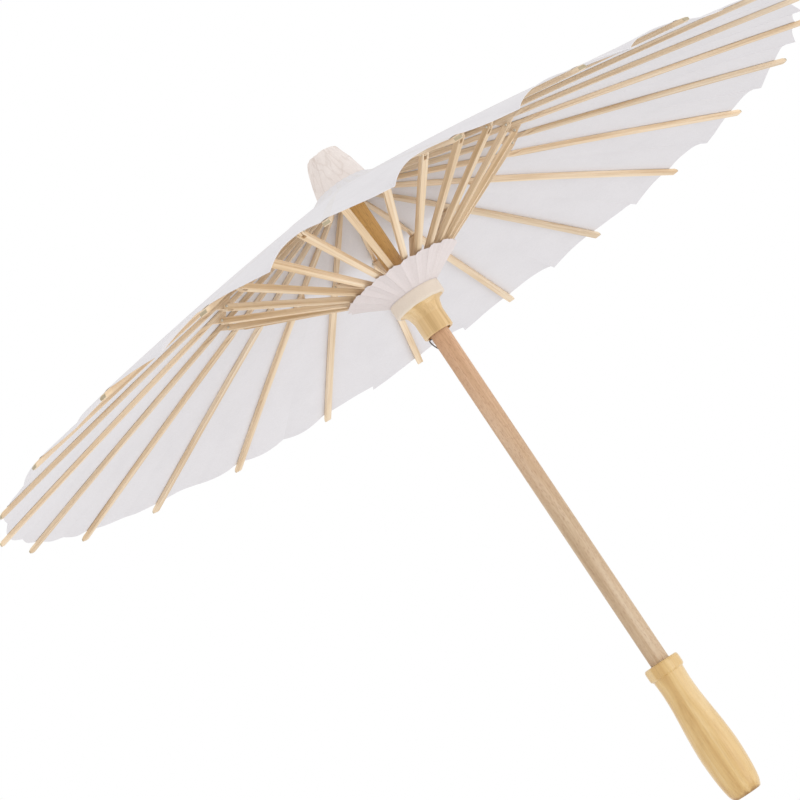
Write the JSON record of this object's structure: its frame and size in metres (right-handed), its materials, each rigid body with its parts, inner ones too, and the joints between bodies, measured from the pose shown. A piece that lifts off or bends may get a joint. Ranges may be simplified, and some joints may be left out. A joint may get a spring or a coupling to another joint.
{
  "type": "oil paper umbrella",
  "caption": "Folding paper parasol: pleated paper canopy on hinged bamboo ribs and stretchers, sliding runner with a spring catch, turned wooden handle.",
  "frame": {"origin": "centre of the handle's flat end face", "axes": "+Z along the shaft from the handle to the cap; +X through rib_01"},
  "size_m": [0.5975, 0.599, 0.4792],
  "materials": {
    "handle_wood": "smooth clear lacquer over pale turned wood",
    "shaft_wood": "bare sanded wood, faint grain",
    "hub_wood": "bare turned wood",
    "rib_bamboo": "split bamboo, fine fibres along the length",
    "stretcher_bamboo": "split bamboo, fine fibres along the length",
    "paper": "white paper, matt, creased over the ribs",
    "cap_paper": "wrapped and glued off-white paper, wrinkled",
    "twine": "plain cotton thread",
    "spring_wire": "dark bent spring wire"
  },
  "bodies": {
    "root": {"handle": "handle_wood", "shaft": "shaft_wood", "crown": "hub_wood", "crown_thread": "twine", "crown_cap": "cap_paper", "canopy": "paper"},
    "rib_01": {"rib_01": "rib_bamboo"},
    "stretcher_01": {"stretcher_01": "stretcher_bamboo"},
    "rib_02": {"rib_02": "rib_bamboo"},
    "stretcher_02": {"stretcher_02": "stretcher_bamboo"},
    "rib_03": {"rib_03": "rib_bamboo"},
    "stretcher_03": {"stretcher_03": "stretcher_bamboo"},
    "rib_04": {"rib_04": "rib_bamboo"},
    "stretcher_04": {"stretcher_04": "stretcher_bamboo"},
    "rib_05": {"rib_05": "rib_bamboo"},
    "stretcher_05": {"stretcher_05": "stretcher_bamboo"},
    "rib_06": {"rib_06": "rib_bamboo"},
    "stretcher_06": {"stretcher_06": "stretcher_bamboo"},
    "rib_07": {"rib_07": "rib_bamboo"},
    "stretcher_07": {"stretcher_07": "stretcher_bamboo"},
    "rib_08": {"rib_08": "rib_bamboo"},
    "stretcher_08": {"stretcher_08": "stretcher_bamboo"},
    "rib_09": {"rib_09": "rib_bamboo"},
    "stretcher_09": {"stretcher_09": "stretcher_bamboo"},
    "rib_10": {"rib_10": "rib_bamboo"},
    "stretcher_10": {"stretcher_10": "stretcher_bamboo"},
    "rib_11": {"rib_11": "rib_bamboo"},
    "stretcher_11": {"stretcher_11": "stretcher_bamboo"},
    "rib_12": {"rib_12": "rib_bamboo"},
    "stretcher_12": {"stretcher_12": "stretcher_bamboo"},
    "rib_13": {"rib_13": "rib_bamboo"},
    "stretcher_13": {"stretcher_13": "stretcher_bamboo"},
    "rib_14": {"rib_14": "rib_bamboo"},
    "stretcher_14": {"stretcher_14": "stretcher_bamboo"},
    "rib_15": {"rib_15": "rib_bamboo"},
    "stretcher_15": {"stretcher_15": "stretcher_bamboo"},
    "rib_16": {"rib_16": "rib_bamboo"},
    "stretcher_16": {"stretcher_16": "stretcher_bamboo"},
    "rib_17": {"rib_17": "rib_bamboo"},
    "stretcher_17": {"stretcher_17": "stretcher_bamboo"},
    "rib_18": {"rib_18": "rib_bamboo"},
    "stretcher_18": {"stretcher_18": "stretcher_bamboo"},
    "rib_19": {"rib_19": "rib_bamboo"},
    "stretcher_19": {"stretcher_19": "stretcher_bamboo"},
    "rib_20": {"rib_20": "rib_bamboo"},
    "stretcher_20": {"stretcher_20": "stretcher_bamboo"},
    "rib_21": {"rib_21": "rib_bamboo"},
    "stretcher_21": {"stretcher_21": "stretcher_bamboo"},
    "rib_22": {"rib_22": "rib_bamboo"},
    "stretcher_22": {"stretcher_22": "stretcher_bamboo"},
    "rib_23": {"rib_23": "rib_bamboo"},
    "stretcher_23": {"stretcher_23": "stretcher_bamboo"},
    "runner": {"runner": "hub_wood", "runner_thread": "twine", "runner_skirt": "paper"},
    "catch": {"catch_spring": "spring_wire"}
  },
  "joints": [
    {"name": "canopy_fold", "type": "hinge", "parent": "root", "child": "rib_01", "pos_m": [0.014, 0, 0.4548], "axis": [0, 1, 0], "range_deg": [0, 66.7], "deforming": ["canopy", "runner_skirt", "runner_thread", "catch_spring"]},
    {"name": "stretcher_01_hinge", "type": "hinge", "parent": "rib_01", "child": "stretcher_01", "pos_m": [0.11, 0, 0.4213], "axis": [0, 1, 0], "range_deg": [-127.36, 0]},
    {"name": "rib_02_hinge", "type": "hinge", "parent": "root", "child": "rib_02", "pos_m": [0.01348, 0.00378, 0.4548], "axis": [-0.2698, 0.9629, 0], "range_deg": [0, 66.9]},
    {"name": "stretcher_02_hinge", "type": "hinge", "parent": "rib_02", "child": "stretcher_02", "pos_m": [0.10592, 0.02968, 0.4213], "axis": [-0.2698, 0.9629, 0], "range_deg": [-127.36, 0]},
    {"name": "rib_03_hinge", "type": "hinge", "parent": "root", "child": "rib_03", "pos_m": [0.01196, 0.00727, 0.4548], "axis": [-0.5196, 0.8544, 0], "range_deg": [0, 66.9]},
    {"name": "stretcher_03_hinge", "type": "hinge", "parent": "rib_03", "child": "stretcher_03", "pos_m": [0.09399, 0.05715, 0.4213], "axis": [-0.5196, 0.8544, 0], "range_deg": [-127.36, 0]},
    {"name": "rib_04_hinge", "type": "hinge", "parent": "root", "child": "rib_04", "pos_m": [0.00956, 0.01023, 0.4548], "axis": [-0.7308, 0.6826, 0], "range_deg": [0, 66.9]},
    {"name": "stretcher_04_hinge", "type": "hinge", "parent": "rib_04", "child": "stretcher_04", "pos_m": [0.07508, 0.08039, 0.4213], "axis": [-0.7308, 0.6826, 0], "range_deg": [-127.36, 0]},
    {"name": "rib_05_hinge", "type": "hinge", "parent": "root", "child": "rib_05", "pos_m": [0.00644, 0.01243, 0.4548], "axis": [-0.8879, 0.4601, 0], "range_deg": [0, 66.9]},
    {"name": "stretcher_05_hinge", "type": "hinge", "parent": "rib_05", "child": "stretcher_05", "pos_m": [0.05061, 0.09767, 0.4213], "axis": [-0.8879, 0.4601, 0], "range_deg": [-127.36, 0]},
    {"name": "rib_06_hinge", "type": "hinge", "parent": "root", "child": "rib_06", "pos_m": [0.00285, 0.01371, 0.4548], "axis": [-0.9791, 0.2035, 0], "range_deg": [0, 66.9]},
    {"name": "stretcher_06_hinge", "type": "hinge", "parent": "rib_06", "child": "stretcher_06", "pos_m": [0.02238, 0.1077, 0.4213], "axis": [-0.9791, 0.2035, 0], "range_deg": [-127.36, 0]},
    {"name": "rib_07_hinge", "type": "hinge", "parent": "root", "child": "rib_07", "pos_m": [-0.00096, 0.01397, 0.4548], "axis": [-0.9977, -0.0682, 0], "range_deg": [0, 66.9]},
    {"name": "stretcher_07_hinge", "type": "hinge", "parent": "rib_07", "child": "stretcher_07", "pos_m": [-0.00751, 0.10974, 0.4213], "axis": [-0.9977, -0.0682, 0], "range_deg": [-127.36, 0]},
    {"name": "rib_08_hinge", "type": "hinge", "parent": "root", "child": "rib_08", "pos_m": [-0.00469, 0.01319, 0.4548], "axis": [-0.9423, -0.3349, 0], "range_deg": [0, 66.9]},
    {"name": "stretcher_08_hinge", "type": "hinge", "parent": "rib_08", "child": "stretcher_08", "pos_m": [-0.03684, 0.10365, 0.4213], "axis": [-0.9423, -0.3349, 0], "range_deg": [-127.36, 0]},
    {"name": "rib_09_hinge", "type": "hinge", "parent": "root", "child": "rib_09", "pos_m": [-0.00807, 0.01144, 0.4548], "axis": [-0.817, -0.5767, 0], "range_deg": [0, 66.9]},
    {"name": "stretcher_09_hinge", "type": "hinge", "parent": "rib_09", "child": "stretcher_09", "pos_m": [-0.06343, 0.08987, 0.4213], "axis": [-0.817, -0.5767, 0], "range_deg": [-127.36, 0]},
    {"name": "rib_10_hinge", "type": "hinge", "parent": "root", "child": "rib_10", "pos_m": [-0.01086, 0.00884, 0.4548], "axis": [-0.6311, -0.7757, 0], "range_deg": [0, 66.9]},
    {"name": "stretcher_10_hinge", "type": "hinge", "parent": "rib_10", "child": "stretcher_10", "pos_m": [-0.08533, 0.06942, 0.4213], "axis": [-0.6311, -0.7757, 0], "range_deg": [-127.36, 0]},
    {"name": "rib_11_hinge", "type": "hinge", "parent": "root", "child": "rib_11", "pos_m": [-0.01284, 0.00558, 0.4548], "axis": [-0.3984, -0.9172, 0], "range_deg": [0, 66.9]},
    {"name": "stretcher_11_hinge", "type": "hinge", "parent": "rib_11", "child": "stretcher_11", "pos_m": [-0.10089, 0.04382, 0.4213], "axis": [-0.3984, -0.9172, 0], "range_deg": [-127.36, 0]},
    {"name": "rib_12_hinge", "type": "hinge", "parent": "root", "child": "rib_12", "pos_m": [-0.01387, 0.00191, 0.4548], "axis": [-0.1362, -0.9907, 0], "range_deg": [0, 66.9]},
    {"name": "stretcher_12_hinge", "type": "hinge", "parent": "rib_12", "child": "stretcher_12", "pos_m": [-0.10898, 0.01498, 0.4213], "axis": [-0.1362, -0.9907, 0], "range_deg": [-127.36, 0]},
    {"name": "rib_13_hinge", "type": "hinge", "parent": "root", "child": "rib_13", "pos_m": [-0.01387, -0.00191, 0.4548], "axis": [0.1362, -0.9907, 0], "range_deg": [0, 66.9]},
    {"name": "stretcher_13_hinge", "type": "hinge", "parent": "rib_13", "child": "stretcher_13", "pos_m": [-0.10898, -0.01498, 0.4213], "axis": [0.1362, -0.9907, 0], "range_deg": [-127.36, 0]},
    {"name": "rib_14_hinge", "type": "hinge", "parent": "root", "child": "rib_14", "pos_m": [-0.01284, -0.00558, 0.4548], "axis": [0.3984, -0.9172, 0], "range_deg": [0, 66.9]},
    {"name": "stretcher_14_hinge", "type": "hinge", "parent": "rib_14", "child": "stretcher_14", "pos_m": [-0.10089, -0.04382, 0.4213], "axis": [0.3984, -0.9172, 0], "range_deg": [-127.36, 0]},
    {"name": "rib_15_hinge", "type": "hinge", "parent": "root", "child": "rib_15", "pos_m": [-0.01086, -0.00884, 0.4548], "axis": [0.6311, -0.7757, 0], "range_deg": [0, 66.9]},
    {"name": "stretcher_15_hinge", "type": "hinge", "parent": "rib_15", "child": "stretcher_15", "pos_m": [-0.08533, -0.06942, 0.4213], "axis": [0.6311, -0.7757, 0], "range_deg": [-127.36, 0]},
    {"name": "rib_16_hinge", "type": "hinge", "parent": "root", "child": "rib_16", "pos_m": [-0.00807, -0.01144, 0.4548], "axis": [0.817, -0.5767, 0], "range_deg": [0, 66.9]},
    {"name": "stretcher_16_hinge", "type": "hinge", "parent": "rib_16", "child": "stretcher_16", "pos_m": [-0.06343, -0.08987, 0.4213], "axis": [0.817, -0.5767, 0], "range_deg": [-127.36, 0]},
    {"name": "rib_17_hinge", "type": "hinge", "parent": "root", "child": "rib_17", "pos_m": [-0.00469, -0.01319, 0.4548], "axis": [0.9423, -0.3349, 0], "range_deg": [0, 66.9]},
    {"name": "stretcher_17_hinge", "type": "hinge", "parent": "rib_17", "child": "stretcher_17", "pos_m": [-0.03684, -0.10365, 0.4213], "axis": [0.9423, -0.3349, 0], "range_deg": [-127.36, 0]},
    {"name": "rib_18_hinge", "type": "hinge", "parent": "root", "child": "rib_18", "pos_m": [-0.00096, -0.01397, 0.4548], "axis": [0.9977, -0.0682, 0], "range_deg": [0, 66.9]},
    {"name": "stretcher_18_hinge", "type": "hinge", "parent": "rib_18", "child": "stretcher_18", "pos_m": [-0.00751, -0.10974, 0.4213], "axis": [0.9977, -0.0682, 0], "range_deg": [-127.36, 0]},
    {"name": "rib_19_hinge", "type": "hinge", "parent": "root", "child": "rib_19", "pos_m": [0.00285, -0.01371, 0.4548], "axis": [0.9791, 0.2035, 0], "range_deg": [0, 66.9]},
    {"name": "stretcher_19_hinge", "type": "hinge", "parent": "rib_19", "child": "stretcher_19", "pos_m": [0.02238, -0.1077, 0.4213], "axis": [0.9791, 0.2035, 0], "range_deg": [-127.36, 0]},
    {"name": "rib_20_hinge", "type": "hinge", "parent": "root", "child": "rib_20", "pos_m": [0.00644, -0.01243, 0.4548], "axis": [0.8879, 0.4601, 0], "range_deg": [0, 66.9]},
    {"name": "stretcher_20_hinge", "type": "hinge", "parent": "rib_20", "child": "stretcher_20", "pos_m": [0.05061, -0.09767, 0.4213], "axis": [0.8879, 0.4601, 0], "range_deg": [-127.36, 0]},
    {"name": "rib_21_hinge", "type": "hinge", "parent": "root", "child": "rib_21", "pos_m": [0.00956, -0.01023, 0.4548], "axis": [0.7308, 0.6826, 0], "range_deg": [0, 66.9]},
    {"name": "stretcher_21_hinge", "type": "hinge", "parent": "rib_21", "child": "stretcher_21", "pos_m": [0.07508, -0.08039, 0.4213], "axis": [0.7308, 0.6826, 0], "range_deg": [-127.36, 0]},
    {"name": "rib_22_hinge", "type": "hinge", "parent": "root", "child": "rib_22", "pos_m": [0.01196, -0.00727, 0.4548], "axis": [0.5196, 0.8544, 0], "range_deg": [0, 66.9]},
    {"name": "stretcher_22_hinge", "type": "hinge", "parent": "rib_22", "child": "stretcher_22", "pos_m": [0.09399, -0.05715, 0.4213], "axis": [0.5196, 0.8544, 0], "range_deg": [-127.36, 0]},
    {"name": "rib_23_hinge", "type": "hinge", "parent": "root", "child": "rib_23", "pos_m": [0.01348, -0.00378, 0.4548], "axis": [0.2698, 0.9629, 0], "range_deg": [0, 66.9]},
    {"name": "stretcher_23_hinge", "type": "hinge", "parent": "rib_23", "child": "stretcher_23", "pos_m": [0.10592, -0.02968, 0.4213], "axis": [0.2698, 0.9629, 0], "range_deg": [-127.36, 0]},
    {"name": "runner_hinge", "type": "hinge", "parent": "stretcher_01", "child": "runner", "pos_m": [0.014, 0, 0.3763], "axis": [0, 1, 0], "range_deg": [0, 60.66]},
    {"name": "catch_press", "type": "slide", "parent": "root", "child": "catch", "axis": [1, 0, 0], "range_m": [0, 0.0024], "stiffness_N_per_m": 300}
  ],
  "couplings": [
    {"joint": "stretcher_01_hinge", "follows": "canopy_fold", "ratio": -1.905},
    {"joint": "rib_02_hinge", "follows": "canopy_fold", "ratio": 1},
    {"joint": "stretcher_02_hinge", "follows": "canopy_fold", "ratio": -1.905},
    {"joint": "rib_03_hinge", "follows": "canopy_fold", "ratio": 1},
    {"joint": "stretcher_03_hinge", "follows": "canopy_fold", "ratio": -1.905},
    {"joint": "rib_04_hinge", "follows": "canopy_fold", "ratio": 1},
    {"joint": "stretcher_04_hinge", "follows": "canopy_fold", "ratio": -1.905},
    {"joint": "rib_05_hinge", "follows": "canopy_fold", "ratio": 1},
    {"joint": "stretcher_05_hinge", "follows": "canopy_fold", "ratio": -1.905},
    {"joint": "rib_06_hinge", "follows": "canopy_fold", "ratio": 1},
    {"joint": "stretcher_06_hinge", "follows": "canopy_fold", "ratio": -1.905},
    {"joint": "rib_07_hinge", "follows": "canopy_fold", "ratio": 1},
    {"joint": "stretcher_07_hinge", "follows": "canopy_fold", "ratio": -1.905},
    {"joint": "rib_08_hinge", "follows": "canopy_fold", "ratio": 1},
    {"joint": "stretcher_08_hinge", "follows": "canopy_fold", "ratio": -1.905},
    {"joint": "rib_09_hinge", "follows": "canopy_fold", "ratio": 1},
    {"joint": "stretcher_09_hinge", "follows": "canopy_fold", "ratio": -1.905},
    {"joint": "rib_10_hinge", "follows": "canopy_fold", "ratio": 1},
    {"joint": "stretcher_10_hinge", "follows": "canopy_fold", "ratio": -1.905},
    {"joint": "rib_11_hinge", "follows": "canopy_fold", "ratio": 1},
    {"joint": "stretcher_11_hinge", "follows": "canopy_fold", "ratio": -1.905},
    {"joint": "rib_12_hinge", "follows": "canopy_fold", "ratio": 1},
    {"joint": "stretcher_12_hinge", "follows": "canopy_fold", "ratio": -1.905},
    {"joint": "rib_13_hinge", "follows": "canopy_fold", "ratio": 1},
    {"joint": "stretcher_13_hinge", "follows": "canopy_fold", "ratio": -1.905},
    {"joint": "rib_14_hinge", "follows": "canopy_fold", "ratio": 1},
    {"joint": "stretcher_14_hinge", "follows": "canopy_fold", "ratio": -1.905},
    {"joint": "rib_15_hinge", "follows": "canopy_fold", "ratio": 1},
    {"joint": "stretcher_15_hinge", "follows": "canopy_fold", "ratio": -1.905},
    {"joint": "rib_16_hinge", "follows": "canopy_fold", "ratio": 1},
    {"joint": "stretcher_16_hinge", "follows": "canopy_fold", "ratio": -1.905},
    {"joint": "rib_17_hinge", "follows": "canopy_fold", "ratio": 1},
    {"joint": "stretcher_17_hinge", "follows": "canopy_fold", "ratio": -1.905},
    {"joint": "rib_18_hinge", "follows": "canopy_fold", "ratio": 1},
    {"joint": "stretcher_18_hinge", "follows": "canopy_fold", "ratio": -1.905},
    {"joint": "rib_19_hinge", "follows": "canopy_fold", "ratio": 1},
    {"joint": "stretcher_19_hinge", "follows": "canopy_fold", "ratio": -1.905},
    {"joint": "rib_20_hinge", "follows": "canopy_fold", "ratio": 1},
    {"joint": "stretcher_20_hinge", "follows": "canopy_fold", "ratio": -1.905},
    {"joint": "rib_21_hinge", "follows": "canopy_fold", "ratio": 1},
    {"joint": "stretcher_21_hinge", "follows": "canopy_fold", "ratio": -1.905},
    {"joint": "rib_22_hinge", "follows": "canopy_fold", "ratio": 1},
    {"joint": "stretcher_22_hinge", "follows": "canopy_fold", "ratio": -1.905},
    {"joint": "rib_23_hinge", "follows": "canopy_fold", "ratio": 1},
    {"joint": "stretcher_23_hinge", "follows": "canopy_fold", "ratio": -1.905},
    {"joint": "runner_hinge", "follows": "canopy_fold", "ratio": 0.905}
  ]
}
